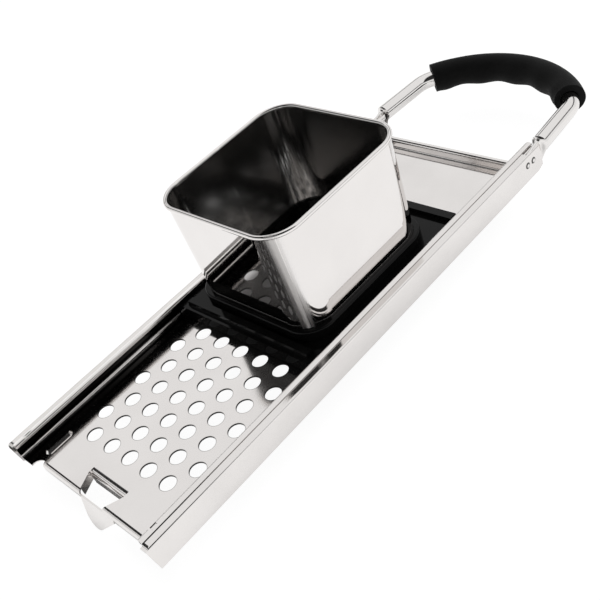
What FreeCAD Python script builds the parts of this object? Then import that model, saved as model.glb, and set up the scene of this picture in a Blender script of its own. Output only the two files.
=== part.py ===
import FreeCAD, Part
import Sketcher
import math
import os
from FreeCAD import Placement, Rotation, Vector

# A spaetzle maker: a long perforated tray with a rail down each side, a tube
# handle behind it, and a square hopper that slides to and fro on the tray.
# X runs along the tray towards the handle, Y across it, Z up. The origin is
# under the middle of the whole tool, level with the tip of its pot tongue.
# All lengths are in millimetres.

doc = FreeCAD.newDocument("SpaetzleMaker")
sheet = doc.addObject("Spreadsheet::Sheet", "Sizes")

drivingSizes = {
    # rails
    "railWidth": 110.0,        # across both skirts
    "railLength": 281.2,       # front end of a rail to its rear tip
    "railSheet": 0.8,
    "railBend": 1.2,           # outer radius from skirt to flange
    "skirtRake": 1.5,          # the skirt's upper front leans ahead of its lower corner
    "skirtDrop": 4.4,          # skirt below the tray's floor
    "flangeRise": 9.5,         # flange above the tray's floor
    "flangeReach": 4.0,        # flange width, measured from the skirt's face
    "flangeCutback": 10.7,     # flange cut off ahead of the rail's rear tip
    "skirtNose": 2.5,          # rounded upper front corner
    "tailRise": 1.5,           # lower rear corner cut off, upwards
    "tailRun": 4.0,            # lower rear corner cut off, forwards
    "tailCrown": 1.2,          # upper rear corner cut off
    # tray: floor and channels
    "floorHeight": 16.0,       # floor above the tip of the tongue
    "traySheet": 0.8,
    "floorBend": 1.5,          # inner radius from floor to channel wall
    "lipBend": 0.2,            # inner radius from channel wall to lip
    "lipReach": 3.85,          # lip over the channel, from the wall
    "lipHeight": 2.7,          # folded lip, underside to top
    "lipCutback": 1.1,         # rounded rear of the lip ahead of the rails' rear tips
    "lipEnd": 3.0,             # radius of that rounding
    "lipStep": 0.4,            # lip's edge above the rail's flange
    "seamGap": 0.15,           # between lip and rail flange
    # tray: front edge
    "noseSetback": 5.0,        # floor's front bend behind the rail ends
    "noseRadius": 2.2,
    "noseDrop": 4.2,
    "stripWidth": 8.7,         # floor strip beside each channel wall
    "reliefWidth": 4.5,        # rounded corner between strip and nose
    "crimpSetback": 5.5,       # crimp across the lip, behind the rail ends
    "crimpWidth": 1.2,
    "crimpDepth": 0.5,
    "crimpTail": 3.0,          # the crimp's leg along the lip
    # tray: pot hook
    "hookSetback": 16.0,       # bend of the hook flange behind the rail ends
    "hookRadius": 3.2,
    "hookOffset": -1.5,        # the whole hook lies a little to the right
    "hookDepth": 8.0,          # flange below the floor's upper face
    "hookWidth": 27.0,
    "hookMouth": 16.5,         # opening's width at the front
    "hookFront": 2.0,          # opening's front edge behind the rail ends
    "notchDrop": 2.0,          # depth of the notch through the nose
    "hookCheek": 5.0,          # depth of the turned-down sides
    "tongueLeft": 8.3,         # tongue's edges below the nose, from the hook's middle
    "tongueRight": 17.0,
    "tongueRound": 7.1,        # radius of the tip
    "tongueLean": 4.0,         # tip ahead of the root
    # tray: perforation, stops and rear wall
    "holePitch": 14.0,
    "holeBore": 8.2,
    "holeRows": 15.0,
    "holeStart": 28.5,         # first row behind the rail ends
    "stopSetback": 8.0,        # raised stops on the floor
    "stopLength": 15.7,
    "stopWidth": 4.0,
    "stopHeight": 1.4,
    "stopInset": 10.0,         # from the channel wall to the stop's middle
    "rearSetback": 15.7,       # rear wall's front face ahead of the rails' rear tips
    "rearHeight": 5.5,
    "rearFlange": 3.0,
    "rearBend": 1.0,
    "rearInset": 3.5,          # channel wall to the rear wall's end
    # handle
    "tubeBore": 7.8,
    "tubeWall": 0.8,
    "tubeHeight": 8.0,         # tube's centre above the floor
    "pinchGauge": 1.9,         # thickness of the flattened ends
    "pinchHeight": 12.0,
    "pinchStart": 18.7,        # flattened ends start ahead of the rails' rear tips
    "exitHeight": 13.0,        # flattened tube where it leaves the rail
    "exitRise": 2.4,           # its top there above the flange's underside
    "swageLength": 2.0,        # shoulder from flattened to round
    "bowSpan": 109.1,          # between the legs' centre lines where the flange ends
    "bowTaper": 4.3,           # degrees, each leg leans inwards
    "bowReach": 63.9,          # centre line's rearmost point behind the rails' rear tips
    "bowRadius": 62.7,         # of the rear arc
    "bowCorner": 16.2,         # of the bends between the legs and the rear arc
    "gripWall": 3.7,
    "gripSetback": 1.0,        # grip's ends beyond the start of the rear arc
    "gripGap": 0.3,            # between grip and tube
    "wavePitch": 23.6,         # finger waves along the grip, a crest in the middle
    "waveDepth": 1.1,
    # rivets through skirt, flattened tube and channel wall
    "rivetShank": 2.4,
    "rivetHead": 3.6,
    "rivetCrown": 0.45,
    "rivetPitch": 5.1,
    "rivetStart": 12.5,        # first rivet ahead of the rails' rear tips
    "rivetHeight": 4.4,        # above the floor
    "rivetFit": 0.05,
    # hopper
    "hopperAt": 159.3,         # its middle behind the rail fronts
    "hopperLength": 87.9,      # outside, at the rim
    "hopperWidth": 84.0,
    "hopperTop": 69.7,         # top of the rim above the floor
    "hopperFoot": 4.0,         # foot of the wall above the floor
    "hopperTaper": 2.6,        # narrower at the foot
    "hopperCorner": 15.4,
    "hopperSheet": 0.8,
    "rimBead": 2.4,
    # slider under the hopper
    "runGap": 0.3,             # running clearance in the channels
    "seatGap": 0.1,            # around the hopper's wall in its groove
    "sliderFront": 53.3,       # front face ahead of the hopper's middle
    "sliderRear": 57.7,
    "sliderCorner": 1.5,
    "barHeight": 10.2,         # bars above the floor
    "barTop": 3.5,             # width of the front bar's top
    "barSlope": 2.7,           # front bar leans back by this
    "barLength": 85.0,
    "rearBar": 4.5,
    "collarWall": 2.1,         # collar's thickness along its straight sides
    "collarCorner": 15.0,
    "collarTop": 13.5,
    "collarRound": 1.0,
    "ringWall": 1.6,           # ring inside the hopper's foot
    "ringTop": 12.0,
    "deckSheet": 2.2,          # plastic thickness over the hollow underside
    "skirtWall": 2.2,          # plastic thickness round the underside
}

cellRow = 0
for alias, number in drivingSizes.items():
    cellRow += 1
    sheet.set(f"A{cellRow}", alias)
    sheet.set(f"B{cellRow}", str(number))
    sheet.setAlias(f"B{cellRow}", alias)
doc.recompute()


class Size:
    # A number in millimetres that carries its formula over the sheet's cells.
    def __init__(self, number, formula):
        self.number = number
        self.formula = formula

    def __add__(self, other):
        return joined(self, other, "+", self.number + plain(other))

    def __radd__(self, other):
        return joined(other, self, "+", plain(other) + self.number)

    def __sub__(self, other):
        return joined(self, other, "-", self.number - plain(other))

    def __rsub__(self, other):
        return joined(other, self, "-", plain(other) - self.number)

    def __mul__(self, other):
        return joined(self, other, "*", self.number * plain(other))

    def __truediv__(self, other):
        return joined(self, other, "/", self.number / plain(other))

    def __neg__(self):
        return Size(-self.number, f"(-1 * {self.formula})")


def plain(value):
    return value.number if isinstance(value, Size) else float(value)


def formulaOf(value):
    return value.formula if isinstance(value, Size) else repr(float(value))


def joined(left, right, sign, number):
    return Size(number, f"({formulaOf(left)} {sign} {formulaOf(right)})")


def cell(alias):
    return Size(float(sheet.get(alias)), f"Sizes.{alias}")


# Places that several pieces share
bowDepth = cell("tubeBore") + cell("tubeWall") * 2
gripDiameter = bowDepth + cell("gripGap") * 2 + cell("gripWall") * 2
toolRear = cell("railLength") + cell("bowReach") + gripDiameter / 2
front = cell("skirtRake") - (cell("skirtRake") + toolRear) / 2
railRear = front + cell("railLength")
floorTop = cell("floorHeight")
halfRail = cell("railWidth") / 2
skirtFoot = floorTop - cell("skirtDrop")
flangeTop = floorTop + cell("flangeRise")
flangeUnder = flangeTop - cell("railSheet")
flangeEdge = halfRail - cell("flangeReach")
skirtInner = halfRail - cell("railSheet")
wallOuter = skirtInner - cell("pinchGauge")
wallInner = wallOuter - cell("traySheet")
lipUnder = flangeUnder - cell("traySheet")
lipTop = lipUnder + cell("lipHeight")
lipEdge = wallInner - cell("lipReach")
lipRadius = cell("lipHeight") / 2
rivetLevel = floorTop + cell("rivetHeight")
rivetFirst = railRear - cell("rivetStart")
rivetHole = cell("rivetShank") + cell("rivetFit") * 2
hopperX = front + cell("hopperAt")


def setSize(item, name, value):
    if isinstance(value, Size):
        item.setExpression(name, value.formula)
    else:
        setattr(item, name, value)


def newBody(label):
    body = doc.addObject("PartDesign::Body", label)
    body.Label = label
    return body


def originPiece(body, role):
    return next(piece for piece in body.Origin.OriginFeatures if piece.Role == role)


def newSketch(body, label, role, offset=0.0):
    sketch = body.newObject("Sketcher::SketchObject", label)
    sketch.AttachmentSupport = (originPiece(body, role), [""])
    sketch.MapMode = "FlatFace"
    sketch.AttachmentOffset = Placement(Vector(0, 0, plain(offset)), Rotation())
    if isinstance(offset, Size):
        sketch.setExpression(".AttachmentOffset.Base.z", offset.formula)
    return sketch


def fixPoint(sketch, edge, end, across, up):
    # Ties one point of an edge to its two distances from the sketch's origin.
    for kind, value in (("DistanceX", across), ("DistanceY", up)):
        if value is None:
            continue
        index = sketch.addConstraint(Sketcher.Constraint(kind, -1, 1, edge, end, plain(value)))
        if isinstance(value, Size):
            sketch.setExpression(f"Constraints[{index}]", value.formula)


def addLoop(sketch, vertices):
    # A closed outline. A vertex is (across, up), or (across, up, centreAcross,
    # centreUp) where the edge that leaves it is an arc of less than half a turn.
    edges = []
    for index, vertex in enumerate(vertices):
        start = Vector(plain(vertex[0]), plain(vertex[1]), 0)
        following = vertices[(index + 1) % len(vertices)]
        finish = Vector(plain(following[0]), plain(following[1]), 0)
        if len(vertex) == 2:
            edge = sketch.addGeometry(Part.LineSegment(start, finish), False)
            edges.append((edge, 1, 2))
            continue
        centre = Vector(plain(vertex[2]), plain(vertex[3]), 0)
        startAngle = math.atan2(start.y - centre.y, start.x - centre.x)
        finishAngle = math.atan2(finish.y - centre.y, finish.x - centre.x)
        turn = (finishAngle - startAngle) % (2 * math.pi)
        circle = Part.Circle(centre, Vector(0, 0, 1), start.distanceToPoint(centre))
        if turn < math.pi:
            edge = sketch.addGeometry(Part.ArcOfCircle(circle, startAngle, finishAngle), False)
            edges.append((edge, 1, 2))
        else:
            edge = sketch.addGeometry(Part.ArcOfCircle(circle, finishAngle, startAngle), False)
            edges.append((edge, 2, 1))
        wide = abs(finish.x - start.x) > abs(finish.y - start.y)
        fixPoint(sketch, edge, 3, None if wide else vertex[2], vertex[3] if wide else None)
    for index, (edge, startEnd, finishEnd) in enumerate(edges):
        nextEdge, nextStart, _ = edges[(index + 1) % len(edges)]
        sketch.addConstraint(Sketcher.Constraint("Coincident", edge, finishEnd, nextEdge, nextStart))
        fixPoint(sketch, edge, startEnd, vertices[index][0], vertices[index][1])


def addCircle(sketch, across, up, diameter):
    centre = Vector(plain(across), plain(up), 0)
    circle = Part.Circle(centre, Vector(0, 0, 1), plain(diameter) / 2)
    edge = sketch.addGeometry(circle, False)
    fixPoint(sketch, edge, 3, across, up)
    index = sketch.addConstraint(Sketcher.Constraint("Diameter", edge, plain(diameter)))
    sketch.setExpression(f"Constraints[{index}]", diameter.formula)


def mirroredLoop(half):
    # Completes an outline whose first half is given, across the vertical axis.
    loop = list(half)
    for index in reversed(range(len(half))):
        across, up = half[index][:2]
        arc = half[index - 1][2:] if index > 0 else ()
        loop.append((-across, up, -arc[0], arc[1]) if arc else (-across, up))
    return loop


def flipped(loop, acrossSign, upSign):
    # The same outline on the other side of one of the sketch's axes.
    signs = (acrossSign, upSign, acrossSign, upSign)
    return [tuple(value * sign for value, sign in zip(vertex, signs)) for vertex in loop]


def roundedLoop(halfAcross, halfUp, radius, middle=0.0):
    # A rectangle about (middle, 0) with rounded corners.
    left = middle - halfAcross
    right = middle + halfAcross
    innerLeft = left + radius
    innerRight = right - radius
    innerUp = halfUp - radius
    return [
        (right, -innerUp),
        (right, innerUp, innerRight, innerUp),
        (innerRight, halfUp),
        (innerLeft, halfUp, innerLeft, innerUp),
        (left, innerUp),
        (left, -innerUp, innerLeft, -innerUp),
        (innerLeft, -halfUp),
        (innerRight, -halfUp, innerRight, -innerUp),
    ]


def rectangle(left, right, low, high):
    return [(left, low), (right, low), (right, high), (left, high)]


def feature(body, kind, label, sketch, length=None, side="One side", backwards=False):
    item = body.newObject(kind, label)
    item.Profile = sketch
    item.AllowMultiFace = True
    item.SideType = side
    item.Reversed = backwards
    if length is None:
        item.Type = "ThroughAll"
    else:
        setSize(item, "Length", length)
    return item


def pad(body, label, sketch, length, side="One side", backwards=False):
    return feature(body, "PartDesign::Pad", label, sketch, length, side, backwards)


def pocket(body, label, sketch, length=None, side="One side", backwards=False):
    # Every cut has to take something away, so the volumes are compared.
    doc.recompute()
    before = body.Shape.Volume
    item = feature(body, "PartDesign::Pocket", label, sketch, length, side, backwards)
    doc.recompute()
    if not body.Shape.Volume < before - 1e-6:
        raise RuntimeError(f"{label} cuts nothing")
    return item


def repeated(body, label, original, count, spacing):
    # Copies of a feature along X.
    pattern = body.newObject("PartDesign::LinearPattern", label)
    pattern.Originals = [original]
    pattern.Direction = (originPiece(body, "X_Axis"), [""])
    pattern.Mode = "Spacing"
    pattern.setExpression("Occurrences", count)
    pattern.setExpression("Offset", spacing)
    body.Tip = pattern
    return pattern


def loft(body, kind, label, lower, upper):
    item = body.newObject(kind, label)
    item.Profile = lower
    item.Sections = [upper]
    item.Ruled = True
    return item


def level(body, label, height, loops):
    sketch = newSketch(body, label, "XY_Plane", height)
    for vertices in loops:
        addLoop(sketch, vertices)
    return sketch


def side(body, label, loops, offset=0.0):
    # An outline seen from the side, across the middle of the tool, or at
    # an offset towards the right rail.
    sketch = newSketch(body, label, "XZ_Plane", offset)
    for vertices in loops:
        addLoop(sketch, vertices)
    return sketch


def section(body, label, along, loops):
    # An outline seen along the tool, at one place on X.
    sketch = newSketch(body, label, "YZ_Plane", along)
    for vertices in loops:
        addLoop(sketch, vertices)
    return sketch


# ---- tray ----
def trayOutline():
    # Half of the bent sheet seen along the tray: floor, channel wall and lip,
    # which is folded back over itself and ends beside the rail's flange.
    gauge = cell("traySheet")
    floorCentre = wallInner - cell("floorBend")
    floorCentreUp = floorTop + cell("floorBend")
    lipCentre = wallInner - cell("lipBend")
    lipCentreUp = lipUnder - cell("lipBend")
    foldCentre = lipEdge + lipRadius
    foldCentreUp = lipUnder + lipRadius
    leafEdge = flangeEdge - cell("seamGap")
    leafTop = flangeTop + cell("lipStep")
    return [
        (floorCentre, floorTop - gauge, floorCentre, floorCentreUp),
        (wallOuter, floorCentreUp),
        (wallOuter, lipCentreUp, lipCentre, lipCentreUp),
        (lipCentre, lipUnder + gauge),
        (foldCentre, lipUnder + gauge, foldCentre, foldCentreUp),
        (lipEdge + gauge, foldCentreUp, foldCentre, foldCentreUp),
        (foldCentre, lipTop - gauge),
        (leafEdge, leafTop - gauge),
        (leafEdge, leafTop),
        (foldCentre, lipTop, foldCentre, foldCentreUp),
        (lipEdge, foldCentreUp, foldCentre, foldCentreUp),
        (foldCentre, lipUnder),
        (lipCentre, lipUnder, lipCentre, lipCentreUp),
        (wallInner, lipCentreUp),
        (wallInner, floorCentreUp, floorCentre, floorCentreUp),
        (floorCentre, floorTop),
    ]


def bentFlange(start, radius, foot):
    # A sheet that leaves the floor at start and turns down towards the front.
    gauge = cell("traySheet")
    face = start - radius
    centreUp = floorTop - radius
    return [
        (start, floorTop, start, centreUp),
        (face, centreUp),
        (face, foot),
        (face + gauge, foot),
        (face + gauge, centreUp, start, centreUp),
        (start, floorTop - gauge),
    ]


def makeTray():
    body = newBody("tray")
    gauge = cell("traySheet")
    noseStart = front + cell("noseSetback")
    noseFace = noseStart - cell("noseRadius")
    noseHalf = wallInner - cell("stripWidth") - cell("reliefWidth")
    stripEdge = wallInner - cell("stripWidth")
    rearFace = railRear - cell("rearSetback")
    lipRear = railRear - cell("lipCutback")

    pad(body, "TraySheet", section(body, "TraySection", front, [mirroredLoop(trayOutline())]),
        cell("railLength") - cell("lipCutback"))

    # The floor's front edge, with a rounded corner at each strip.
    ahead = front - cell("noseSetback")
    cornerX = noseStart - cell("reliefWidth")
    frontCut = [
        (ahead, -stripEdge),
        (cornerX, -stripEdge, cornerX, -noseHalf),
        (noseStart, -noseHalf),
        (noseStart, noseHalf, cornerX, noseHalf),
        (cornerX, stripEdge),
        (ahead, stripEdge),
    ]
    pocket(body, "FrontCut", level(body, "FrontEdge", floorTop, [frontCut]), gauge * 2, "Symmetric")
    noseLoop = bentFlange(noseStart, cell("noseRadius"), floorTop - cell("noseDrop"))
    pad(body, "Nose", side(body, "NoseSection", [noseLoop]), noseHalf * 2, "Symmetric")

    # The tongue hangs from the nose and leans forward. Its round tip lies on
    # the hook's middle, beside the middle of the tray, and each edge leaves
    # the tip as a tangent that ends at its own width below the nose.
    hookY = cell("hookOffset")
    rootUp = floorTop - cell("noseRadius")
    tipX = noseFace - cell("tongueLean")
    tipUp = floorTop - cell("floorHeight")
    tongueLeft = hookY + cell("tongueLeft")
    tongueRight = hookY - cell("tongueRight")
    tongueLoop = [(noseFace, rootUp), (tipX, tipUp), (tipX + gauge, tipUp), (noseFace + gauge, rootUp)]
    pad(body, "Tongue", side(body, "TongueSection", [tongueLoop], -(tongueLeft + tongueRight) / 2),
        cell("tongueLeft") + cell("tongueRight"), "Symmetric")
    edgeUp = floorTop - cell("noseDrop")
    tipRadius = cell("tongueRound")
    tipCentreUp = tipUp + tipRadius
    rise = plain(edgeUp - tipCentreUp)
    touches = []
    for sign, alias in ((-1, "tongueRight"), (1, "tongueLeft")):
        spread = plain(cell(alias))
        lean = math.acos(plain(tipRadius) / math.hypot(spread, rise)) - math.atan2(rise, spread)
        touches.append((hookY + tipRadius * (sign * math.cos(lean)),
                        tipCentreUp - tipRadius * math.sin(lean)))
    below = tipUp - gauge
    tongueEdge = [
        (tongueRight, edgeUp),
        (touches[0][0], touches[0][1], hookY, tipCentreUp),
        touches[1],
        (tongueLeft, edgeUp),
        (tongueLeft + gauge, edgeUp),
        (tongueLeft + gauge, below),
        (tongueRight - gauge, below),
        (tongueRight - gauge, edgeUp),
    ]
    endSketch = section(body, "TongueEnd", tipX - gauge, [tongueEdge])
    pocket(body, "TongueRound", endSketch, cell("tongueLean") + gauge * 3, backwards=True)

    # The opening cut through the nose's bend and the floor, its turned-down
    # flange at the rear and its turned-down cheeks.
    hookStart = front + cell("hookSetback")
    hookFace = hookStart - cell("hookRadius")
    hookHalf = cell("hookWidth") / 2
    mouthHalf = cell("hookMouth") / 2
    mouthX = front + cell("hookFront")
    opening = [
        (mouthX, hookY - mouthHalf), (hookFace, hookY - hookHalf), (hookStart, hookY - hookHalf),
        (hookStart, hookY + hookHalf), (hookFace, hookY + hookHalf), (mouthX, hookY + mouthHalf),
    ]
    pocket(body, "HookOpening", level(body, "HookOutline", floorTop, [opening]),
           cell("notchDrop") * 2, "Symmetric")
    flangeLoop = bentFlange(hookStart, cell("hookRadius"), floorTop - cell("hookDepth"))
    pad(body, "HookFlange", side(body, "HookSection", [flangeLoop], -hookY),
        cell("hookWidth"), "Symmetric")
    share = (noseStart - mouthX) / (hookFace - mouthX)
    cheekHalf = mouthHalf + (hookHalf - mouthHalf) * share
    cheeks = []
    for sign in (1, -1):
        cheeks.append([
            (noseStart, hookY + cheekHalf * sign),
            (hookFace, hookY + hookHalf * sign),
            (hookFace + gauge, hookY + hookHalf * sign),
            (hookFace + gauge, hookY + (hookHalf + gauge) * sign),
            (hookFace, hookY + (hookHalf + gauge) * sign),
            (noseStart, hookY + (cheekHalf + gauge) * sign),
        ])
    pad(body, "HookCheeks", level(body, "CheekOutline", floorTop, cheeks),
        cell("hookCheek"), backwards=True)

    # The rear wall with its small flange; the floor ends at its foot.
    bend = cell("rearBend")
    footX = rearFace - bend
    wallHalf = wallInner - cell("rearInset")
    floorCut = rectangle(footX, lipRear + gauge, -(wallInner - cell("floorBend")),
                         wallInner - cell("floorBend"))
    pocket(body, "RearCut", level(body, "RearEdge", floorTop, [floorCut]), gauge * 2, "Symmetric")
    crest = floorTop + cell("rearHeight")
    crestX = rearFace + gauge + bend
    crestUp = crest - gauge - bend
    rearLoop = [
        (footX, floorTop, footX, floorTop + bend),
        (rearFace, floorTop + bend),
        (rearFace, crestUp, crestX, crestUp),
        (crestX, crest),
        (rearFace + cell("rearFlange"), crest),
        (rearFace + cell("rearFlange"), crest - gauge),
        (crestX, crest - gauge, crestX, crestUp),
        (rearFace + gauge, crestUp),
        (rearFace + gauge, floorTop + bend, footX, floorTop + bend),
        (footX, floorTop - gauge),
    ]
    pad(body, "RearWall", side(body, "RearSection", [rearLoop]), wallHalf * 2, "Symmetric")

    # Rounded rear ends of the lips.
    lipRound = lipEdge + cell("lipEnd")
    lipRoundX = lipRear - cell("lipEnd")
    lipCorner = [
        (lipRoundX, lipEdge, lipRoundX, lipRound),
        (lipRear, lipRound),
        (lipRear + gauge, lipRound),
        (lipRear + gauge, lipEdge - gauge),
        (lipRoundX, lipEdge - gauge),
    ]
    lipCorners = [lipCorner, flipped(lipCorner, 1, -1)]
    pocket(body, "LipEnds", level(body, "LipEndOutline", lipTop, lipCorners),
           cell("lipHeight") + gauge)

    # T-shaped crimps pressed into the lips near the front.
    crimpX = front + cell("crimpSetback")
    crimpEnd = crimpX + cell("crimpWidth")
    crimpMiddle = lipEdge + lipRadius
    leaf = flangeEdge - cell("seamGap") + gauge
    crimpHalf = cell("crimpWidth") / 2
    crimp = [
        (crimpX, lipEdge - gauge), (crimpEnd, lipEdge - gauge),
        (crimpEnd, crimpMiddle - crimpHalf), (crimpEnd + cell("crimpTail"), crimpMiddle - crimpHalf),
        (crimpEnd + cell("crimpTail"), crimpMiddle + crimpHalf), (crimpEnd, crimpMiddle + crimpHalf),
        (crimpEnd, leaf), (crimpX, leaf),
    ]
    pocket(body, "Crimps", level(body, "CrimpOutline", lipTop, [crimp, flipped(crimp, 1, -1)]),
           cell("crimpDepth"))

    # Raised stops on the floor.
    stopX = front + cell("stopSetback")
    stopY = wallInner - cell("stopInset")
    stopHalf = cell("stopWidth") / 2
    stopLeft = stopX + stopHalf
    stopRight = stopX + cell("stopLength") - stopHalf
    stop = [
        (stopLeft, stopY + stopHalf, stopLeft, stopY),
        (stopX, stopY, stopLeft, stopY),
        (stopLeft, stopY - stopHalf),
        (stopRight, stopY - stopHalf, stopRight, stopY),
        (stopRight + stopHalf, stopY, stopRight, stopY),
        (stopRight, stopY + stopHalf),
    ]
    stops = pad(body, "Stops", level(body, "StopOutline", floorTop, [stop, flipped(stop, 1, -1)]),
                cell("stopHeight"))
    stops.TaperAngle = -35

    # Rows of holes in a hexagonal grid, alternately five and six across.
    pitch = cell("holePitch")
    firstX = front + cell("holeStart")
    rowStep = pitch * math.cos(math.radians(30))
    for label, count, startX, rows in (
        ("Five", 5, firstX, "floor((Sizes.holeRows + 1) / 2)"),
        ("Six", 6, firstX + rowStep, "floor(Sizes.holeRows / 2)"),
    ):
        sketch = newSketch(body, f"{label}Holes", "XY_Plane", floorTop)
        for index in range(count):
            addCircle(sketch, startX, pitch * (index - (count - 1) / 2), cell("holeBore"))
        row = pocket(body, f"{label}Row", sketch, gauge * 2, "Symmetric")
        repeated(body, f"{label}Rows", row, rows, (rowStep * 2).formula)

    # Rivet holes in the channel walls.
    rivets = side(body, "WallRivets", [])
    for index in range(2):
        addCircle(rivets, rivetFirst + cell("rivetPitch") * index, rivetLevel, rivetHole)
    pocket(body, "WallRivetHoles", rivets, wallOuter * 2 + gauge, "Symmetric")
    return body


# ---- rails ----
def makeRail(label, sign):
    body = newBody(label)
    bend = cell("railBend")
    bendY = (halfRail - bend) * sign
    bendUp = flangeTop - bend
    outline = [
        (halfRail * sign, skirtFoot),
        (halfRail * sign, bendUp, bendY, bendUp),
        (bendY, flangeTop),
        (flangeEdge * sign, flangeTop),
        (flangeEdge * sign, flangeUnder),
        (bendY, flangeUnder, bendY, bendUp),
        (skirtInner * sign, bendUp),
        (skirtInner * sign, skirtFoot),
    ]
    rake = cell("skirtRake")
    brow = front - rake
    pad(body, f"{label}_sheet", section(body, f"{label}_section", brow, [outline]),
        cell("railLength") + rake)

    # Skirt's ends: the front edge leans forward and is round above, the rear
    # corners are cut off.
    gauge = cell("railSheet")
    nose = cell("skirtNose")
    noseCorner = [
        (front, skirtFoot),
        (brow, flangeTop - nose, brow + nose, flangeTop - nose),
        (brow + nose, flangeTop),
        (brow + nose, flangeTop + gauge),
        (brow - gauge, flangeTop + gauge),
        (brow - gauge, skirtFoot - gauge),
        (front, skirtFoot - gauge),
    ]
    tailLow = [
        (railRear - cell("tailRun"), skirtFoot),
        (railRear, skirtFoot + cell("tailRise")),
        (railRear + gauge, skirtFoot + cell("tailRise")),
        (railRear + gauge, skirtFoot - gauge),
        (railRear - cell("tailRun"), skirtFoot - gauge),
    ]
    tailHigh = [
        (railRear - cell("tailCrown"), flangeTop),
        (railRear, flangeTop - cell("tailCrown")),
        (railRear + gauge, flangeTop - cell("tailCrown")),
        (railRear + gauge, flangeTop + gauge),
        (railRear - cell("tailCrown"), flangeTop + gauge),
    ]
    corners = side(body, f"{label}_corners", [noseCorner, tailLow, tailHigh])
    pocket(body, f"{label}_cuts", corners, cell("railWidth") * 2, "Symmetric")

    # Behind its end the flange is gone and the tube comes out.
    strip = rectangle(railRear - cell("flangeCutback"), railRear + gauge,
                      (flangeEdge - gauge) * sign, skirtInner * sign)
    pocket(body, f"{label}_flange_cut", level(body, f"{label}_flange_end", flangeTop, [strip]),
           bend + gauge)

    rivets = side(body, f"{label}_rivets", [])
    for index in range(2):
        addCircle(rivets, rivetFirst + cell("rivetPitch") * index, rivetLevel, rivetHole)
    pocket(body, f"{label}_rivet_holes", rivets, cell("railWidth") * 2, "Symmetric")
    return body


# ---- handle ----
def bowLine():
    # The tube's centre line in plan, on the left: a leg that leans inwards,
    # a corner arc, and the rearmost arc about a point on the middle line.
    # The corner's centre is one corner radius inside the leg and
    # (bowRadius - bowCorner) from the rear arc's centre.
    taper = math.radians(plain(cell("bowTaper")))
    pinchEnd = plain(railRear - cell("flangeCutback"))
    legY = plain(cell("bowSpan") / 2)
    large = plain(cell("bowRadius"))
    small = plain(cell("bowCorner"))
    rearX = plain(railRear + cell("bowReach"))
    largeCentre = Vector(rearX - large, 0, 0)
    outward = Vector(math.sin(taper), math.cos(taper), 0)
    legOffset = outward.dot(Vector(pinchEnd, legY, 0))
    cornerOffset = legOffset - small - outward.dot(largeCentre)
    angle = math.asin(cornerOffset / (large - small)) - taper
    towards = Vector(math.cos(angle), math.sin(angle), 0)
    smallCentre = largeCentre + towards * (large - small)
    legEnd = smallCentre + outward * small
    cornerMiddle = smallCentre + (outward + towards).normalize() * small
    cornerEnd = largeCentre + towards * large
    return {"legEnd": legEnd, "cornerMiddle": cornerMiddle, "cornerEnd": cornerEnd,
            "rear": Vector(rearX, 0, 0), "rearCentre": largeCentre, "rearAngle": angle,
            "legDirection": Vector(outward.y, -outward.x, 0)}


def acrossMiddle(point):
    return Vector(point.x, -point.y, point.z)


def bowArcs(height):
    # The two corner arcs and the rear arc at one height.
    line = bowLine()
    lift = Vector(0, 0, height)
    corner = [line["legEnd"] + lift, line["cornerMiddle"] + lift, line["cornerEnd"] + lift]
    return [
        Part.Arc(corner[0], corner[1], corner[2]).toShape(),
        Part.Arc(corner[2], line["rear"] + lift, acrossMiddle(corner[2])).toShape(),
        Part.Arc(acrossMiddle(corner[2]), acrossMiddle(corner[1]), acrossMiddle(corner[0])).toShape(),
    ]


def tubeSection(centre, direction, gauge, height, roundness):
    # Flattened tube at roundness 0, a full circle at 1. Four edges always:
    # two sides and two ends, so that neighbouring sections match.
    across = Vector(0, 0, 1).cross(direction)
    cornerAcross = gauge / 2 * (1 - roundness + roundness * math.cos(math.pi / 4))
    cornerUp = (height - gauge) / 2 * (1 - roundness) + height / 2 * math.sin(math.pi / 4) * roundness

    def spot(sideways, up):
        return centre + across * sideways + Vector(0, 0, up)

    edges = []
    for sign in (1, -1):
        low = spot(cornerAcross * sign, -cornerUp * sign)
        high = spot(cornerAcross * sign, cornerUp * sign)
        if roundness == 0:
            edges.append(Part.LineSegment(low, high).toShape())
        else:
            edges.append(Part.Arc(low, spot(gauge / 2 * sign, 0), high).toShape())
        beyond = spot(-cornerAcross * sign, cornerUp * sign)
        edges.append(Part.Arc(high, spot(0, height / 2 * sign), beyond).toShape())
    return Part.Wire(edges)


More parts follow.
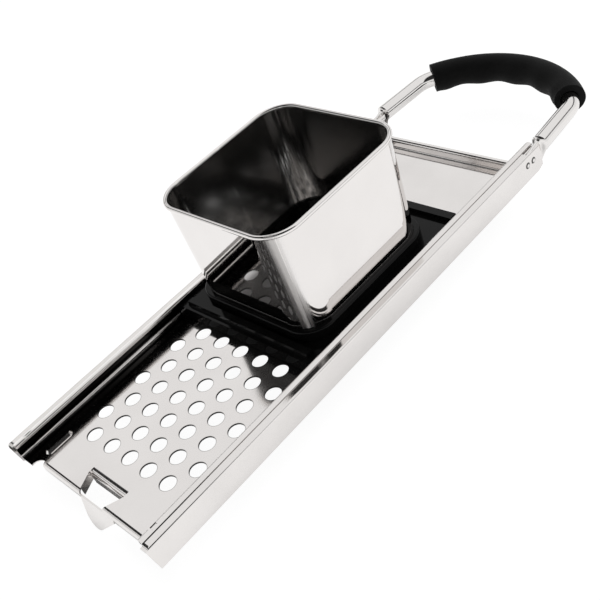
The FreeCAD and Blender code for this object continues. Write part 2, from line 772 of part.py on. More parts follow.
def tubeSolid(shrink):
    # The bow's outer shape, or with shrink its hollow: each half is a
    # flattened end that rises out of the rail, a shoulder that turns it
    # round, and a straight leg.
    line = bowLine()
    direction = line["legDirection"]
    diameter = plain(bowDepth) - 2 * shrink
    gauge = plain(cell("pinchGauge")) - 2 * shrink
    pinchHeight = plain(cell("pinchHeight")) - 2 * shrink
    tubeUp = plain(floorTop + cell("tubeHeight"))
    exitHeight = plain(cell("exitHeight")) - 2 * shrink
    pinchUp = plain(flangeUnder - cell("pinchHeight") / 2)
    exitUp = plain(flangeUnder + cell("exitRise") - cell("exitHeight") / 2)
    startX = plain(railRear - cell("pinchStart"))
    pinchEnd = plain(railRear - cell("flangeCutback"))
    swageStart = plain(railRear + cell("seamGap"))
    swageLength = plain(cell("swageLength"))
    pinchY = plain(skirtInner - cell("pinchGauge") / 2)
    along = Vector(1, 0, 0)

    def legPoint(x):
        return line["legEnd"] + direction * ((x - line["legEnd"].x) / direction.x)

    flatStart = tubeSection(Vector(startX, pinchY, pinchUp), along, gauge, pinchHeight, 0)
    flatEnd = tubeSection(Vector(pinchEnd, pinchY, pinchUp), along, gauge, pinchHeight, 0)
    flatExit = tubeSection(Vector(swageStart, pinchY, exitUp), along, gauge, exitHeight, 0)
    swage = [flatExit]
    steps = 4
    for step in range(1, steps + 1):
        part = step / steps
        ease = part * part * (3 - 2 * part)
        x = swageStart + swageLength * part
        centre = legPoint(x)
        centre.y = pinchY + (centre.y - pinchY) * ease
        centre.z = exitUp + (tubeUp - exitUp) * ease
        turned = along + (direction - along) * ease
        swage.append(tubeSection(centre, turned.normalize(), gauge + (diameter - gauge) * ease,
                                 exitHeight + (diameter - exitHeight) * ease, ease))
    legStart = legPoint(swageStart + swageLength)
    legStart.z = tubeUp
    legEnd = Vector(line["legEnd"].x, line["legEnd"].y, tubeUp)
    half = [
        Part.makeLoft([flatStart, flatEnd], True, True),
        Part.makeLoft([flatEnd, flatExit], True, True),
        Part.makeLoft(swage, True, False),
        Part.makeCylinder(diameter / 2, (legEnd - legStart).Length, legStart, direction),
    ]
    solids = half + [piece.mirror(Vector(0, 0, 0), Vector(0, 1, 0)) for piece in half]
    path = Part.Wire(bowArcs(tubeUp))
    ring = Part.Wire([Part.makeCircle(diameter / 2, legEnd, direction)])
    solids.append(path.makePipeShell([ring], True, True))
    return solids[0].fuse(solids[1:]).removeSplitter()


def keepShape(label, shape):
    item = doc.addObject("Part::Feature", label)
    item.Label = label
    item.Shape = shape
    item.Placement = Placement()
    return item


def makeHandleBow():
    tube = tubeSolid(0).cut(tubeSolid(plain(cell("tubeWall"))))
    reach = plain(cell("railWidth"))
    for index in range(2):
        x = plain(rivetFirst + cell("rivetPitch") * index)
        hole = Part.makeCylinder(plain(rivetHole) / 2, reach * 2, Vector(x, -reach, plain(rivetLevel)),
                                 Vector(0, 1, 0))
        tube = tube.cut(hole)
    return keepShape("handle_bow", tube.Solids[0] if len(tube.Solids) == 1 else tube)


def makeHandleGrip():
    # A sleeve round the rear arc with shallow finger waves on its inner lower
    # side: each section shrinks by the wave's depth and moves away from there.
    line = bowLine()
    radius = plain(cell("bowRadius"))
    halfSweep = line["rearAngle"] - plain(cell("gripSetback")) / radius
    centre = line["rearCentre"] + Vector(0, 0, plain(floorTop + cell("tubeHeight")))
    outer = plain(gripDiameter) / 2
    depth = plain(cell("waveDepth"))
    waveAngle = plain(cell("wavePitch")) / radius
    rings = []
    steps = 2 * round(4 * halfSweep / waveAngle)
    for index in range(steps + 1):
        angle = halfSweep * (1 - 2 * index / steps)
        wave = depth / 2 * (1 - math.cos(2 * math.pi * angle / waveAngle))
        shift = wave / 2 * math.sin(math.pi / 4)
        ring = Part.makeCircle(outer - wave / 2, Vector(radius + shift, 0, shift), Vector(0, 1, 0))
        ring.rotate(Vector(0, 0, 0), Vector(0, 0, 1), math.degrees(angle))
        ring.translate(centre)
        rings.append(Part.Wire([ring]))
    sleeve = Part.makeLoft(rings, True, False)
    boreRadius = plain(bowDepth) / 2 + plain(cell("gripGap"))
    profile = Part.Face(Part.Wire([Part.makeCircle(boreRadius, centre + Vector(radius, 0, 0),
                                                   Vector(0, 1, 0))]))
    bore = profile.revolve(centre, Vector(0, 0, 1), 360)
    return keepShape("handle_grip", sleeve.cut(bore))


def makeRivets():
    # Two rivets a side, with a low crown outside and a flush tail inside.
    rivets = []
    shank = plain(cell("rivetShank")) / 2
    head = plain(cell("rivetHead")) / 2
    crown = plain(cell("rivetCrown"))
    outside = plain(halfRail)
    inside = plain(wallInner)
    for sign in (1, -1):
        for index in range(2):
            x = plain(rivetFirst + cell("rivetPitch") * index)
            up = plain(rivetLevel)
            outward = Vector(0, sign, 0)
            pin = Part.makeCylinder(shank, outside - inside, Vector(x, inside * sign, up), outward)
            sphere = (head * head + crown * crown) / (2 * crown)
            ball = Part.makeSphere(sphere, Vector(x, (outside + crown - sphere) * sign, up))
            disc = Part.makeCylinder(head, crown * 2, Vector(x, outside * sign, up), outward)
            rivets.append(pin.fuse(ball.common(disc)).removeSplitter())
    return keepShape("handle_rivets", Part.makeCompound(rivets))


# ---- hopper ----
def hopperHalf(sizeAlias, height):
    # Half of the hopper's outside at a height above the floor.
    share = (cell("hopperTop") - height) / (cell("hopperTop") - cell("hopperFoot"))
    return cell(sizeAlias) / 2 - cell("hopperTaper") / 2 * share


def hopperLoop(height, grow):
    # The hopper's outside at a height above the floor, grown by a distance.
    return roundedLoop(hopperHalf("hopperLength", height) + grow,
                       hopperHalf("hopperWidth", height) + grow,
                       cell("hopperCorner") + grow, hopperX)


def hopperLevel(body, label, height, grow):
    return level(body, label, floorTop + height, [hopperLoop(height, grow)])


def makeHopper():
    body = newBody("hopper")
    foot = cell("hopperFoot")
    wallTop = cell("hopperTop") - cell("rimBead") / 2
    inward = -cell("hopperSheet")
    below = foot - cell("hopperSheet")
    above = cell("hopperTop") + cell("hopperSheet")
    loft(body, "PartDesign::AdditiveLoft", "HopperOutside",
         hopperLevel(body, "HopperFoot", foot, 0), hopperLevel(body, "HopperBrim", wallTop, 0))
    doc.recompute()
    loft(body, "PartDesign::SubtractiveLoft", "HopperInside",
         hopperLevel(body, "HopperFootInside", below, inward),
         hopperLevel(body, "HopperBrimInside", above, inward))
    doc.recompute()

    # The rolled rim runs round the wall's outer face.
    path = level(body, "RimPath", floorTop + wallTop, [hopperLoop(wallTop, 0)])
    bead = section(body, "RimSection", hopperX, [])
    addCircle(bead, hopperHalf("hopperWidth", wallTop), floorTop + wallTop, cell("rimBead"))
    rim = body.newObject("PartDesign::AdditivePipe", "Rim")
    rim.Profile = bead
    rim.Spine = (path, [])
    doc.recompute()
    return body


# ---- slider ----
def makeSlider():
    body = newBody("slider_base")
    under = floorTop + cell("runGap")
    deckTop = lipUnder - cell("runGap")
    frontX = hopperX - cell("sliderFront")
    rearX = hopperX + cell("sliderRear")
    halfDeck = wallInner - cell("runGap")
    halfLength = (cell("sliderFront") + cell("sliderRear")) / 2
    middle = (frontX + rearX) / 2
    deckLoop = roundedLoop(halfLength, halfDeck, cell("sliderCorner"), middle)
    pad(body, "Deck", level(body, "DeckOutline", under, [deckLoop]), deckTop - under)

    # The deck's lower side edges are cut off to clear the tray's floor bends.
    relief = cell("floorBend")
    spare = cell("skirtWall")
    edgeCut = [
        (halfDeck - relief, under),
        (halfDeck, under + relief),
        (halfDeck + spare, under + relief),
        (halfDeck + spare, under - spare),
        (halfDeck - relief, under - spare),
    ]
    edges = section(body, "EdgeRelief", frontX - spare, [edgeCut, flipped(edgeCut, -1, 1)])
    pocket(body, "EdgeReliefCut", edges, halfLength * 2 + spare * 2, backwards=True)

    # A bar across the front that leans back, and one across the rear.
    barTop = floorTop + cell("barHeight")
    crestX = frontX + cell("barSlope")
    frontBar = [
        (frontX, under),
        (crestX, barTop),
        (crestX + cell("barTop"), barTop),
        (crestX + cell("barTop") + cell("barSlope"), under),
    ]
    pad(body, "FrontBar", side(body, "FrontBarSection", [frontBar]), cell("barLength"), "Symmetric")
    rearBar = rectangle(rearX - cell("rearBar"), rearX, under, barTop)
    pad(body, "RearBar", side(body, "RearBarSection", [rearBar]),
        (lipEdge - cell("runGap")) * 2, "Symmetric")

    # The collar that the hopper stands in.
    collarGrow = cell("collarWall") + cell("seatGap")
    foot = cell("hopperFoot")
    collarLoop = roundedLoop(hopperHalf("hopperLength", foot) + collarGrow,
                             hopperHalf("hopperWidth", foot) + collarGrow,
                             cell("collarCorner"), hopperX)
    collar = pad(body, "Collar", level(body, "CollarOutline", under, [collarLoop]),
                 floorTop + cell("collarTop") - under)
    doc.recompute()
    brim = plain(floorTop + cell("collarTop"))
    topEdges = [f"Edge{index + 1}" for index, edge in enumerate(collar.Shape.Edges)
                if all(abs(vertex.Z - brim) < 1e-4 for vertex in edge.Vertexes)]
    rounding = body.newObject("PartDesign::Fillet", "CollarRound")
    rounding.Base = (collar, topEdges)
    rounding.setExpression("Radius", "Sizes.collarRound")
    doc.recompute()

    # Hollow underside between the outer skirt and the collar's wall.
    wall = cell("skirtWall")
    hollow = roundedLoop(halfLength - wall, halfDeck - wall, cell("sliderCorner"), middle)
    pocket(body, "Underside", level(body, "UndersideOutline", under, [hollow, collarLoop]),
           deckTop - under - cell("deckSheet"), backwards=True)

    # The groove for the hopper's wall, the ring inside it, and the way through.
    above = cell("collarTop") + cell("collarWall")
    loft(body, "PartDesign::SubtractiveLoft", "Groove",
         hopperLevel(body, "GrooveFoot", foot, cell("seatGap")),
         hopperLevel(body, "GrooveTop", above, cell("seatGap")))
    doc.recompute()
    ringGrow = -(cell("hopperSheet") + cell("seatGap"))
    loft(body, "PartDesign::AdditiveLoft", "Ring",
         hopperLevel(body, "RingFoot", foot, ringGrow),
         hopperLevel(body, "RingTop", cell("ringTop"), ringGrow))
    doc.recompute()
    throat = hopperLoop(foot, ringGrow - cell("ringWall"))
    pocket(body, "Throat", level(body, "ThroatOutline", floorTop + cell("collarTop"), [throat]),
           cell("collarTop"))
    return body


pieces = [
    makeTray(),
    makeRail("left_rail", 1),
    makeRail("right_rail", -1),
    makeHandleBow(),
    makeHandleGrip(),
    makeRivets(),
    makeHopper(),
    makeSlider(),
]
doc.recompute()

for item in doc.Objects:
    if "Invalid" in item.State or "Error" in item.State:
        raise RuntimeError(f"{item.Label} failed: {item.State}")
for piece in pieces:
    if piece.Shape.isNull() or not piece.Shape.isValid():
        raise RuntimeError(f"{piece.Label} has no valid shape")

os.makedirs("parts", exist_ok=True)
for piece in pieces:
    piece.Shape.exportStep(f"parts/{piece.Label}.step")
    bounds = piece.Shape.BoundBox
    print(f"{piece.Label}: {len(piece.Shape.Solids)} solids, {piece.Shape.Volume / 1000:.2f} cm3, "
          f"X {bounds.XMin:.2f} {bounds.XMax:.2f}, Y {bounds.YMin:.2f} {bounds.YMax:.2f}, "
          f"Z {bounds.ZMin:.2f} {bounds.ZMax:.2f}")
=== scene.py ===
import bpy
import math
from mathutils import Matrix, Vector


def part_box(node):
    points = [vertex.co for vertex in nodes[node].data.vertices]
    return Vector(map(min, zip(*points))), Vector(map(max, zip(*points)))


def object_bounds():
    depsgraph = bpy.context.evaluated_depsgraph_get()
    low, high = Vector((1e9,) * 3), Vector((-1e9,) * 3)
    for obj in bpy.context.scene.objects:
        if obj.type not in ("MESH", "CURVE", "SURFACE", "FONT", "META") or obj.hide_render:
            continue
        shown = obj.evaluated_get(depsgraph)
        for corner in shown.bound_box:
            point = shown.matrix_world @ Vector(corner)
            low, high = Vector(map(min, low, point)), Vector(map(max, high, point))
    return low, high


# A spaetzle maker: polished sheet steel tray and hopper, glossy black slider,
# tube handle with a soft black grip, on a white table under soft light.
# Lengths are metres.

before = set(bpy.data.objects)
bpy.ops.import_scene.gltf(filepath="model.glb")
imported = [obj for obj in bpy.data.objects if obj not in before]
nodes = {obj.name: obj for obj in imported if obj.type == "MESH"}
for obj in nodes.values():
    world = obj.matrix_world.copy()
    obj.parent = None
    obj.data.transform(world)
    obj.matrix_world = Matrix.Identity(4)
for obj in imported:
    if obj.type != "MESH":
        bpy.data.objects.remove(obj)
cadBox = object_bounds()
print("loaded", len(nodes), "nodes")


# Shorthand for the nodes and links of one tree.
class treeKit:
    def __init__(self, tree):
        self.nodes = tree.nodes
        self.links = tree.links

    def add(self, kind):
        return self.nodes.new("ShaderNode" + kind)

    def put(self, value, socket):
        # A socket is linked; a number, point or colour is set.
        if isinstance(value, bpy.types.NodeSocket):
            self.links.new(value, socket)
        elif socket.type == "RGBA":
            colour = value if isinstance(value, tuple) else (value,) * 3
            socket.default_value = (*colour, 1)
        else:
            socket.default_value = value

    def math(self, operation, first, second=None, clamp=False):
        node = self.add("Math")
        node.operation = operation
        node.use_clamp = clamp
        self.put(first, node.inputs[0])
        if second is not None:
            self.put(second, node.inputs[1])
        return node.outputs[0]

    def vector(self, operation, first, second=None):
        node = self.add("VectorMath")
        node.operation = operation
        self.put(first, node.inputs[0])
        if second is not None:
            self.put(second, node.inputs[1])
        return node.outputs["Value" if operation == "DOT_PRODUCT" else "Vector"]

    def length(self, first, second):
        squares = [self.math("MULTIPLY", value, value) for value in (first, second)]
        return self.math("SQRT", self.math("ADD", *squares))

    def place(self):
        return self.add("TexCoord").outputs["Object"]

    def split(self, vector):
        node = self.add("SeparateXYZ")
        self.put(vector, node.inputs[0])
        return node.outputs

    def join(self, *values):
        node = self.add("CombineXYZ")
        for value, socket in zip(values, node.inputs):
            self.put(value, socket)
        return node.outputs[0]

    def noise(self, place, scale, detail, roughness=0.5):
        node = self.add("TexNoise")
        for name, value in (("Vector", place), ("Scale", scale), ("Detail", detail),
                            ("Roughness", roughness)):
            self.put(value, node.inputs[name])
        return node.outputs["Fac"]

    def ramp(self, value, stops, interpolation="LINEAR"):
        node = self.add("ValToRGB")
        node.color_ramp.interpolation = interpolation
        elements = node.color_ramp.elements
        while len(elements) < len(stops):
            elements.new(0.5)
        for element, (position, shade) in zip(elements, stops):
            colour = shade if isinstance(shade, tuple) else (shade,) * 3
            element.position = position
            element.color = (*colour, 1)
        self.put(value, node.inputs[0])
        return node.outputs[0]

    def blend(self, share, first, second):
        # first where share is 0, second where it is 1
        node = self.add("Mix")
        node.data_type = "RGBA"
        self.put(share, node.inputs["Factor"])
        self.put(first, node.inputs["A"])
        self.put(second, node.inputs["B"])
        return node.outputs["Result"]


def newMaterial(name):
    material = bpy.data.materials.new(name)
    material.use_nodes = True
    material.node_tree.nodes.clear()
    return material, treeKit(material.node_tree)


sheetNoise = {
    "lineScale": 900.0,
    "lineStretch": 0.02,       # below 1 the lines grow long along X
    "lineDetail": 4,
    "lineRoughness": 0.7,
    "waveDetail": 1,
    "cloudScale": 45.0,
    "cloudDetail": 5,
    "cloudStops": [(0.35, 0.0), (0.7, 1.0)],
}


def buildSheetSurface():
    # Surface of rolled and polished sheet, shared by the steel materials.
    # Height = fine lines along X + slow waviness of the sheet.
    # Smudge = soft cloudy mask from 0 to 1.
    group = bpy.data.node_groups.new("sheetSurface", "ShaderNodeTree")
    for name, direction in (("Wave Scale", "INPUT"), ("Line Share", "INPUT"),
                            ("Height", "OUTPUT"), ("Smudge", "OUTPUT")):
        group.interface.new_socket(name=name, in_out=direction, socket_type="NodeSocketFloat")
    tree = treeKit(group)
    entry = group.nodes.new("NodeGroupInput").outputs
    leave = group.nodes.new("NodeGroupOutput").inputs
    place = tree.place()
    squeezed = tree.vector("MULTIPLY", place, (sheetNoise["lineStretch"], 1, 1))
    lines = tree.noise(squeezed, sheetNoise["lineScale"], sheetNoise["lineDetail"],
                       sheetNoise["lineRoughness"])
    waves = tree.noise(place, entry["Wave Scale"], sheetNoise["waveDetail"])
    clouds = tree.noise(place, sheetNoise["cloudScale"], sheetNoise["cloudDetail"])
    linePart = tree.math("MULTIPLY", lines, entry["Line Share"])
    tree.put(tree.math("ADD", linePart, waves), leave["Height"])
    tree.put(tree.ramp(clouds, sheetNoise["cloudStops"]), leave["Smudge"])
    return group


def inwardMask(tree, look):
    # 1 where the surface turns towards the upright line through the middle.
    coordinates = tree.add("TexCoord").outputs
    offset = tree.vector("SUBTRACT", coordinates["Object"], look["middle"])
    level = tree.vector("MULTIPLY", offset, (1, 1, 0))
    outward = tree.vector("DOT_PRODUCT", level, coordinates["Normal"])
    return tree.math("LESS_THAN", outward, -look["insideFrom"])


def streakMask(tree, look, streaks):
    # Upright streaks, each at an angle around the line through the middle,
    # with a half width in degrees and a strength, broken up by fine lines.
    # Inside the hopper these masks place painted highlight streaks; at the near corner they
    # change only the roughness.
    offset = tree.split(tree.vector("SUBTRACT", tree.place(), look["middle"]))
    angle = tree.math("DEGREES", tree.math("ARCTAN2", offset[1], offset[0]))
    total = 0.0
    for centre, halfWidth, strength in streaks:
        away = tree.math("ABSOLUTE", tree.math("SUBTRACT", angle, centre))
        near = tree.math("SUBTRACT", 1, tree.math("DIVIDE", away, halfWidth), clamp=True)
        total = tree.math("MAXIMUM", total, tree.math("MULTIPLY", near, strength))
    threads = tree.noise(tree.join(angle, offset[2]), look["threadScale"], look["threadDetail"])
    return tree.math("MULTIPLY", total, tree.ramp(threads, look["threadStops"]))


def channelShadeMask(tree, look):
    # Painted shade: 1 in the two channels under the folded lips, where little
    # light comes, but 0 in the bend at their bottom, which catches some.
    parts = tree.split(tree.place())
    across = tree.math("ABSOLUTE", parts[1])
    dark = tree.math("MULTIPLY", tree.math("GREATER_THAN", across, look["channelFrom"]),
                     tree.math("LESS_THAN", parts[2], look["channelTop"]))
    bend = tree.math("MULTIPLY", tree.math("GREATER_THAN", across, look["bendFrom"]),
                     tree.math("LESS_THAN", parts[2], look["bendTop"]))
    return tree.math("SUBTRACT", dark, bend, clamp=True)


def holeRimShadeMask(tree, look):
    # Painted shade: 1 on the walls and burrs of the punched holes, fading out
    # just beside them. Rows are a row step apart along X, and every other row
    # is moved by half a pitch across and has one hole more.
    parts = tree.split(tree.place())
    pitch = look["holePitch"]
    rowStep = pitch * math.cos(math.radians(30))
    along = tree.math("DIVIDE", tree.math("SUBTRACT", parts[0], look["firstRow"]), rowStep)
    row = tree.math("ROUND", along)
    odd = tree.math("FLOORED_MODULO", row, 2)
    across = tree.math("ADD", tree.math("DIVIDE", parts[1], pitch),
                       tree.math("MULTIPLY", odd, 0.5))
    place = tree.math("ROUND", across)
    aside = tree.math("MULTIPLY", tree.math("SUBTRACT", across, place), pitch)
    ahead = tree.math("MULTIPLY", tree.math("SUBTRACT", along, row), rowStep)
    beyond = tree.math("SUBTRACT", tree.length(aside, ahead), look["holeBore"] / 2)
    ring = tree.math("SUBTRACT", 1, tree.math("DIVIDE", beyond, look["holeShadeWidth"]), clamp=True)
    limit = look["sideHoles"] + 0.5
    for inRange in (tree.math("GREATER_THAN", row, -0.5),
                    tree.math("LESS_THAN", row, look["rows"] - 0.5),
                    tree.math("GREATER_THAN", place, -limit),
                    tree.math("LESS_THAN", tree.math("SUBTRACT", place, odd), limit)):
        ring = tree.math("MULTIPLY", ring, inRange)
    return ring


def rivetRimShadeMask(tree, low, high, stops):
    # Painted shade: 1 on the rims of the two rivets of a side, 0 on their
    # middles. They stand one behind the other along X and are as wide as they are high.
    radius = (high[2] - low[2]) / 2
    reach = (high[0] - low[0]) / 2 - radius
    parts = tree.split(tree.place())
    aside = tree.math("ABSOLUTE", tree.math("SUBTRACT", parts[0], (low[0] + high[0]) / 2))
    along = tree.math("SUBTRACT", aside, reach)
    up = tree.math("SUBTRACT", parts[2], (low[2] + high[2]) / 2)
    share = tree.math("DIVIDE", tree.length(along, up), radius)
    return tree.ramp(share, stops)


def finishMaterial(material, tree, shader, height, depth):
    # Shallow bump and output, the same for every material of the object.
    bump = tree.add("Bump")
    bump.inputs["Distance"].default_value = depth
    tree.put(height, bump.inputs["Height"])
    tree.put(bump.outputs[0], shader.inputs["Normal"])
    tree.put(shader.outputs[0], tree.add("OutputMaterial").inputs[0])
    return material


def steelMaterial(name, look):
    material, tree = newMaterial(name)
    shader = tree.add("BsdfPrincipled")
    surface = tree.add("Group")
    surface.node_tree = sheetSurface
    surface.inputs["Wave Scale"].default_value = look["waveScale"]
    surface.inputs["Line Share"].default_value = look["lineShare"]
    smudge = surface.outputs["Smudge"]
    colour = tree.ramp(smudge, [(0.0, look["colour"]), (1.0, look["smudged"])])
    rough = tree.ramp(smudge, [(0.0, look["rough"]), (1.0, look["roughSmudged"])])
    if "channelFrom" in look:
        # Painted shade in the channels under the lips.
        colour = tree.blend(channelShadeMask(tree, look), colour, look["channelShadeColour"])
        # Painted shade on the walls and rims of the holes.
        colour = tree.blend(holeRimShadeMask(tree, look), colour, look["holeRimShadeColour"])
    if "rivetRimShadeColour" in look:
        # Painted shade on the rims of the rivets.
        rims = rivetRimShadeMask(tree, *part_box("handle_rivets"), look["rimStops"])
        colour = tree.blend(rims, colour, look["rivetRimShadeColour"])
    if "insideShadeColour" in look:
        # Painted shade on the inward walls of the hopper, with painted highlight streaks; the
        # roughness changes there too.
        inside = inwardMask(tree, look)
        streaks = streakMask(tree, look, look["streaks"])
        insideShadeAndHighlight = tree.blend(streaks, look["insideShadeColour"], look["streakHighlightColour"])
        smooth = tree.blend(streaks, look["insideRough"], look["streakRough"])
        colour = tree.blend(inside, colour, insideShadeAndHighlight)
        rough = tree.blend(inside, rough, smooth)
        corner = streakMask(tree, look, look["cornerStreaks"])
        rough = tree.blend(corner, rough, look["cornerRough"])
    tree.put(colour, shader.inputs["Base Color"])
    tree.put(rough, shader.inputs["Roughness"])
    shader.inputs["Metallic"].default_value = 1
    return finishMaterial(material, tree, shader, surface.outputs["Height"], look["waveDepth"])


trayLow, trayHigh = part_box("tray")
railLow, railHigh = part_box("left_rail")
hopperLow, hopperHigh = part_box("hopper")
sheetLook = {
    "colour": (0.79, 0.765, 0.75),
    "smudged": (0.76, 0.735, 0.72),
    "rough": 0.08,
    "roughSmudged": 0.13,
    "waveScale": 18.0,
    "waveDepth": 0.00005,
    "lineShare": 0.1,
}
trayLook = {
    **sheetLook,
    "channelFrom": trayHigh[1] - 0.0050,
    "channelTop": trayHigh[2] - 0.0022,
    "bendFrom": trayHigh[1] - 0.0021,
    "bendTop": trayHigh[2] - 0.0086,
    # painted shade in the channels
    "channelShadeColour": (0.035, 0.034, 0.033),
    "holePitch": 0.014,
    "holeBore": 0.0082,
    "rows": 15,
    "firstRow": railLow[0] + 0.0300,
    "sideHoles": 2,            # beside the middle hole of an even row
    # width and colour of the painted shade around each hole
    "holeShadeWidth": 0.00035,
    "holeRimShadeColour": (0.16, 0.155, 0.15),
}
hopperLook = {
    "colour": (0.81, 0.785, 0.77),
    "smudged": (0.79, 0.765, 0.75),
    "rough": 0.03,
    "roughSmudged": 0.05,
    "waveScale": 22.0,
    "waveDepth": 0.00006,
    "lineShare": 0.05,
    "middle": tuple((low + high) / 2 for low, high in zip(hopperLow, hopperHigh)),
    "insideFrom": 0.03,
    # painted shade on the inward walls
    "insideShadeColour": (0.50, 0.49, 0.48),
    "insideRough": 0.17,
    "streaks": [(47.0, 8.0, 0.8), (41.0, 2.0, 1.0), (90.0, 1.5, 1.0), (125.0, 3.0, 1.0)],
    # colour of the painted highlight streaks
    "streakHighlightColour": (0.96, 0.94, 0.92),
    "streakRough": 0.11,
    "cornerStreaks": [(-138.0, 5.0, 1.0)],
    "cornerRough": 0.85,
    "threadScale": 1.6,        # for degrees around and metres up
    "threadDetail": 3,
    "threadStops": [(0.38, 0.35), (0.6, 1.0)],
}
tubeLook = {
    "colour": (0.80, 0.78, 0.765),
    "smudged": (0.77, 0.75, 0.735),
    "rough": 0.07,
    "roughSmudged": 0.12,
    "waveScale": 30.0,
    "waveDepth": 0.00003,
    "lineShare": 0.1,
}
rivetLook = {
    **tubeLook,
    # painted shade on the rivet rims
    "rivetRimShadeColour": (0.10, 0.097, 0.094),
    "rimStops": [(0.45, 0.0), (0.6, 1.0)],
}
sheetSurface = buildSheetSurface()
traySteel = steelMaterial("traySteel", trayLook)
railSteel = steelMaterial("railSteel", sheetLook)
hopperSteel = steelMaterial("hopperSteel", hopperLook)
tubeSteel = steelMaterial("tubeSteel", tubeLook)
rivetSteel = steelMaterial("rivetSteel", rivetLook)
print("steel ready")


def darkMaterial(name, look):
    # Dark plastic or foam. One noise drives colour, roughness and bump.
    material, tree = newMaterial(name)
    shader = tree.add("BsdfPrincipled")
    grain = tree.noise(tree.place(), look["grainScale"], look["grainDetail"])
    low, high = look["grainRange"]
    tree.put(tree.ramp(grain, [(low, look["colour"]), (high, look["paler"])]),
             shader.inputs["Base Color"])
    tree.put(tree.ramp(grain, [(low, look["rough"]), (high, look["roughest"])]),
             shader.inputs["Roughness"])
    shader.inputs["Specular IOR Level"].default_value = look["specular"]
    return finishMaterial(material, tree, shader, grain, look["grainDepth"])


sliderLook = {
    "colour": (0.003, 0.003, 0.003),
    "paler": (0.006, 0.006, 0.006),
    "rough": 0.08,
    "roughest": 0.16,
    "specular": 0.12,
    "grainScale": 60,
    "grainDetail": 6,
    "grainRange": (0.3, 0.7),
    "grainDepth": 0.00003,
}
gripLook = {
    "colour": (0.006, 0.006, 0.006),
    "paler": (0.011, 0.011, 0.011),
    "rough": 0.55,
    "roughest": 0.75,
    "specular": 0.12,
    "grainScale": 1800,
    "grainDetail": 3,
    "grainRange": (0.3, 0.7),
    "grainDepth": 0.0001,
}
sliderPlastic = darkMaterial("sliderPlastic", sliderLook)
gripFoam = darkMaterial("gripFoam", gripLook)
print("plastics ready")

pieceMaterials = {
    "tray": traySteel,
    "left_rail": railSteel,
    "right_rail": railSteel,
    "handle_rivets": rivetSteel,
    "handle_bow": tubeSteel,
    "hopper": hopperSteel,
    "slider_base": sliderPlastic,
    "handle_grip": gripFoam,
}
for piece, material in pieceMaterials.items():
    mesh = nodes[piece].data
    mesh.materials.clear()
    mesh.materials.append(material)
print("materials given")

floorLook = {
    "half": 6.0,
    "drop": 0.0002,            # below the lowest point of the object
    "glow": 0.93,              # what the camera and the mirrors see of it
    "shade": 0.25,             # what takes the shadow
    # painted shadow: the glow that mirrors see fades where the tool stands over the floor
    "underReach": 0.14,        # how far the tool darkens its mirror image
    "underSamples": 12,
    "underStops": [(0.35, 0.03), (0.75, 1.0)],
}


def makeFloor():
    # A white square just under the lowest point.
    half = floorLook["half"]
    height = cadBox[0][2] - floorLook["drop"]
    corners = [(x * half, y * half, height) for x, y in ((-1, -1), (1, -1), (1, 1), (-1, 1))]
    mesh = bpy.data.meshes.new("floor")
    mesh.from_pydata(corners, [], [(0, 1, 2, 3)])
    floor = bpy.data.objects.new("floor", mesh)
    bpy.context.scene.collection.objects.link(floor)
    material, tree = newMaterial("floorWhite")
    diffuse = tree.add("BsdfDiffuse")
    tree.put(floorLook["shade"], diffuse.inputs["Color"])
    glow = tree.add("Emission")
    tree.put(1, glow.inputs["Color"])
    path = tree.add("LightPath").outputs
    # Painted shadow in the glow that mirrors see, darker under the tool.
    under = tree.add("AmbientOcclusion")
    under.samples = floorLook["underSamples"]
    under.inputs["Distance"].default_value = floorLook["underReach"]
    openShare = tree.ramp(under.outputs["AO"], floorLook["underStops"])
    mirrored = tree.math("MAXIMUM", path["Is Glossy Ray"], path["Is Transmission Ray"])
    seen = tree.math("MAXIMUM", path["Is Camera Ray"], tree.math("MULTIPLY", mirrored, openShare))
    tree.put(tree.math("MULTIPLY", seen, floorLook["glow"]), glow.inputs["Strength"])
    both = tree.add("AddShader")
    tree.put(diffuse.outputs[0], both.inputs[0])
    tree.put(glow.outputs[0], both.inputs[1])
    tree.put(both.outputs[0], tree.add("OutputMaterial").inputs[0])
    mesh.materials.append(material)


# Azimuths are degrees from +X towards +Y. Side stops are cosines of the angle
# away from the azimuth, and foot, head and horizon stops are sines of height.
skyLook = {
    "dark": 0.03,
    "light": 0.95,
    "horizonStops": [(0.30, 1.0), (0.42, 0.0)],
    "panelAzimuth": 8.0,
    "panelStops": [(0.14, 0.0), (0.26, 1.0)],
    "panelFoot": [(0.455, 0.0), (0.49, 1.0)],
    "stripAzimuth": 140.0,
    "stripStops": [(0.78, 0.0), (0.88, 1.0)],
    "stripFoot": [(0.40, 0.0), (0.44, 1.0)],
    "stripHead": [(0.545, 1.0), (0.58, 0.0)],
}


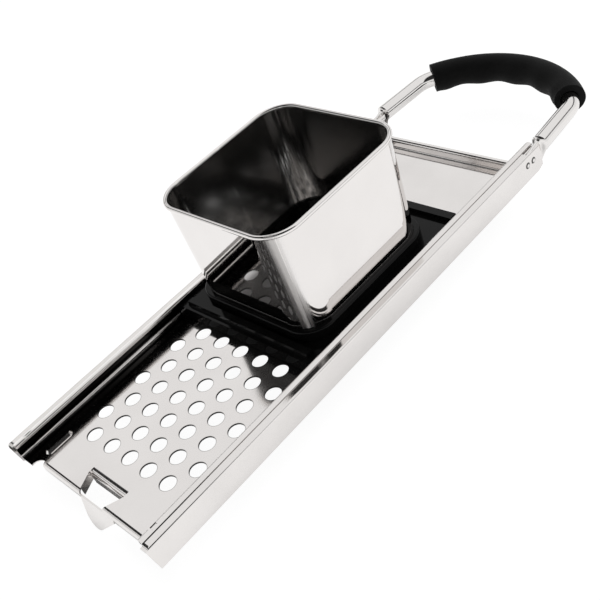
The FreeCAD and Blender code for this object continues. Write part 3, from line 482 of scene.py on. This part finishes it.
def makeWorld():
    # White to the camera. To everything else: light near the horizon all
    # round, dark higher up, with a wide light panel up to the zenith behind
    # the handle and a low light strip on the far left.
    world = bpy.data.worlds.new("studio")
    bpy.context.scene.world = world
    world.use_nodes = True
    world.node_tree.nodes.clear()
    tree = treeKit(world.node_tree)
    direction = tree.add("TexCoord").outputs["Generated"]
    rise = tree.split(direction)[2]
    bearing = tree.vector("NORMALIZE", tree.vector("MULTIPLY", direction, (1, 1, 0)))

    def lightPart(name, *bounds):
        azimuth = math.radians(skyLook[name + "Azimuth"])
        towards = (math.cos(azimuth), math.sin(azimuth), 0)
        aside = tree.vector("DOT_PRODUCT", bearing, towards)
        part = tree.ramp(aside, skyLook[name + "Stops"], "EASE")
        for bound in bounds:
            part = tree.math("MULTIPLY", part, tree.ramp(rise, skyLook[name + bound], "EASE"))
        return part

    light = tree.ramp(rise, skyLook["horizonStops"], "EASE")
    light = tree.math("MAXIMUM", light, lightPart("panel", "Foot"))
    light = tree.math("MAXIMUM", light, lightPart("strip", "Foot", "Head"))
    span = skyLook["light"] - skyLook["dark"]
    glow = tree.math("ADD", tree.math("MULTIPLY", light, span), skyLook["dark"])
    cameraRay = tree.add("LightPath").outputs["Is Camera Ray"]
    background = tree.add("Background")
    tree.put(1, background.inputs["Color"])
    tree.put(tree.math("MAXIMUM", glow, cameraRay), background.inputs["Strength"])
    tree.put(background.outputs[0], tree.add("OutputWorld").inputs[0])


cameraLook = {
    "lens": 55.844,            # millimetres
    "sensor": 36,
    "place": (-0.23016, -0.30733, 0.30278),
    "turn": (49.376, 17.316, -47.106),
}


def makeCamera():
    lens = bpy.data.cameras.new("camera")
    lens.sensor_width = cameraLook["sensor"]
    lens.lens = cameraLook["lens"]
    camera = bpy.data.objects.new("camera", lens)
    camera.location = cameraLook["place"]
    camera.rotation_euler = [math.radians(angle) for angle in cameraLook["turn"]]
    bpy.context.scene.collection.objects.link(camera)
    bpy.context.scene.camera = camera


makeFloor()
makeWorld()
makeCamera()
bpy.context.scene.view_settings.view_transform = "Standard"
print("stage ready")
